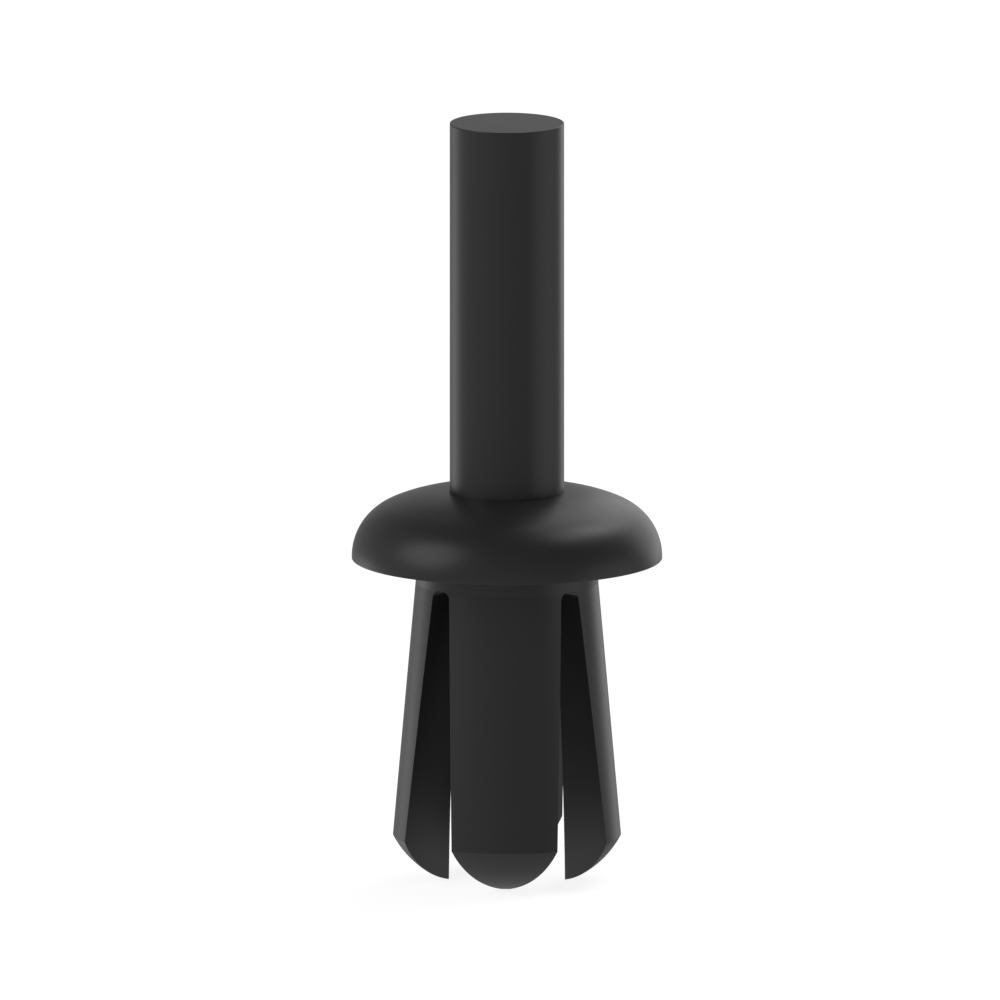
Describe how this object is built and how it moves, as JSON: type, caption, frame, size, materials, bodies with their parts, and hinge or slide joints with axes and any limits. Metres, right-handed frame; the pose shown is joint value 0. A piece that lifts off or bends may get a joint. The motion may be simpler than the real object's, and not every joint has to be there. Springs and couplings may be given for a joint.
{
  "type": "plastic push rivet",
  "caption": "Push-in plastic rivet: a domed head on a split, flaring shank, with a drive pin that is pushed flush to lock the legs behind a panel.",
  "frame": {"origin": "centre of the head's flat underside, on the rivet's axis, where the shank enters its hole", "axes": "+Z along the rivet's axis, out of the head and up the raised pin; +X through the middle of one leg"},
  "size_m": [0.008, 0.008, 0.0198],
  "materials": {
    "body_nylon": "black nylon, smooth satin as moulded",
    "pin_nylon": "black nylon, smooth satin as moulded"
  },
  "bodies": {
    "rivet": {"rivet_body": "body_nylon"},
    "pin": {"drive_pin": "pin_nylon"}
  },
  "joints": [
    {"name": "pin_drive", "type": "slide", "parent": "rivet", "child": "pin", "axis": [0, 0, -1], "range_m": [0, 0.00963]}
  ]
}
